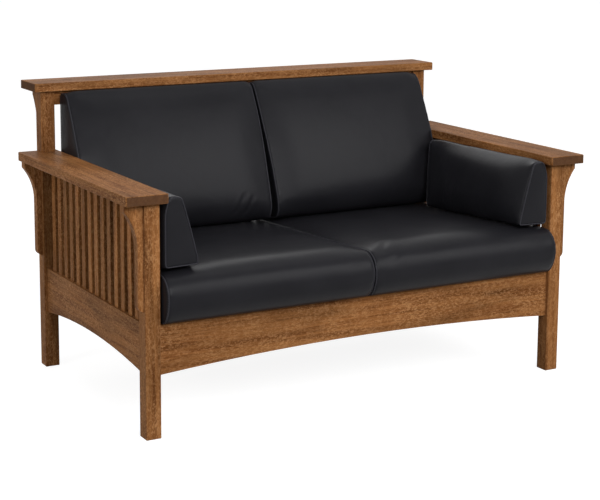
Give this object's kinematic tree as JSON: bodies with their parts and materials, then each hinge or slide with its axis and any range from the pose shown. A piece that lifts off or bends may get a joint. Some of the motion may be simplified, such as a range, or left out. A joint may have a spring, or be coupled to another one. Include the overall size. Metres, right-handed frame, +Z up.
{
  "type": "mission settle",
  "caption": "Two-seat mission settle: slatted oak frame with broad arms on corbels, arched lower rails and a level cap rail, with loose black leather seat, back and arm cushions.",
  "frame": {"origin": "on the floor, at the middle of the whole settle's width and depth", "axes": "+Z up, -Y to the front, +X along the length to the seated person's left"},
  "size_m": [1.522, 0.9344, 0.8935],
  "materials": {
    "oak": "satin brown stain, quarter-sawn figure",
    "dowel": "plain birch",
    "screw_steel": "plain",
    "leather": "soft semi-matt black",
    "foam": "plain"
  },
  "bodies": {
    "frame": {"front_post_left": "oak", "front_post_right": "oak", "back_post_left": "oak", "back_post_right": "oak", "arm_left": "oak", "arm_right": "oak", "front_corbel_left": "oak", "front_corbel_right": "oak", "rear_corbel_left": "oak", "rear_corbel_right": "oak", "cap_corbel_left": "oak", "cap_corbel_right": "oak", "upper_side_rail_left": "oak", "upper_side_rail_right": "oak", "lower_side_rail_left": "oak", "lower_side_rail_right": "oak", "side_slats_left": "oak", "side_slats_right": "oak", "front_corner_block_left": "oak", "front_corner_block_right": "oak", "rear_corner_block_left": "oak", "rear_corner_block_right": "oak", "back_cap_rail": "oak", "front_rail": "oak", "upper_back_rail": "oak", "lower_back_rail": "oak", "back_slats": "oak", "deck_slats": "oak", "front_cleat": "oak", "back_cleat": "oak", "corbel_dowels": "dowel", "arm_screws": "screw_steel", "cap_screws": "screw_steel", "cleat_screws": "screw_steel", "deck_screws": "screw_steel", "corner_block_screws": "screw_steel"},
    "seat_cushion_left": {"seat_cushion_cover_left": "leather", "seat_cushion_core_left": "foam"},
    "seat_cushion_right": {"seat_cushion_cover_right": "leather", "seat_cushion_core_right": "foam"},
    "back_cushion_left": {"back_cushion_cover_left": "leather", "back_cushion_core_left": "foam"},
    "back_cushion_right": {"back_cushion_cover_right": "leather", "back_cushion_core_right": "foam"},
    "arm_cushion_left": {"arm_cushion_cover_left": "leather", "arm_cushion_core_left": "foam"},
    "arm_cushion_right": {"arm_cushion_cover_right": "leather", "arm_cushion_core_right": "foam"}
  },
  "joints": [
    {"name": "seat_cushion_left_slides_out", "type": "slide", "parent": "frame", "child": "seat_cushion_left", "axis": [0, -0.9986, 0.0523], "range_m": [0, 0.85]},
    {"name": "seat_cushion_right_slides_out", "type": "slide", "parent": "frame", "child": "seat_cushion_right", "axis": [0, -0.9986, 0.0523], "range_m": [0, 0.85]},
    {"name": "arm_cushion_left_lifts_out", "type": "slide", "parent": "frame", "child": "arm_cushion_left", "axis": [0.4472, 0, 0.8944], "range_m": [0, 0.32]},
    {"name": "arm_cushion_right_lifts_out", "type": "slide", "parent": "frame", "child": "arm_cushion_right", "axis": [-0.4472, 0, 0.8944], "range_m": [0, 0.32]},
    {"name": "back_cushion_left_tips_forward", "type": "hinge", "parent": "frame", "child": "back_cushion_left", "pos_m": [0, 0.16069, 0.46732], "axis": [1, 0, 0], "range_deg": [0, 11]},
    {"name": "back_cushion_right_tips_forward", "type": "hinge", "parent": "frame", "child": "back_cushion_right", "pos_m": [0, 0.16069, 0.46732], "axis": [1, 0, 0], "range_deg": [0, 11]}
  ]
}
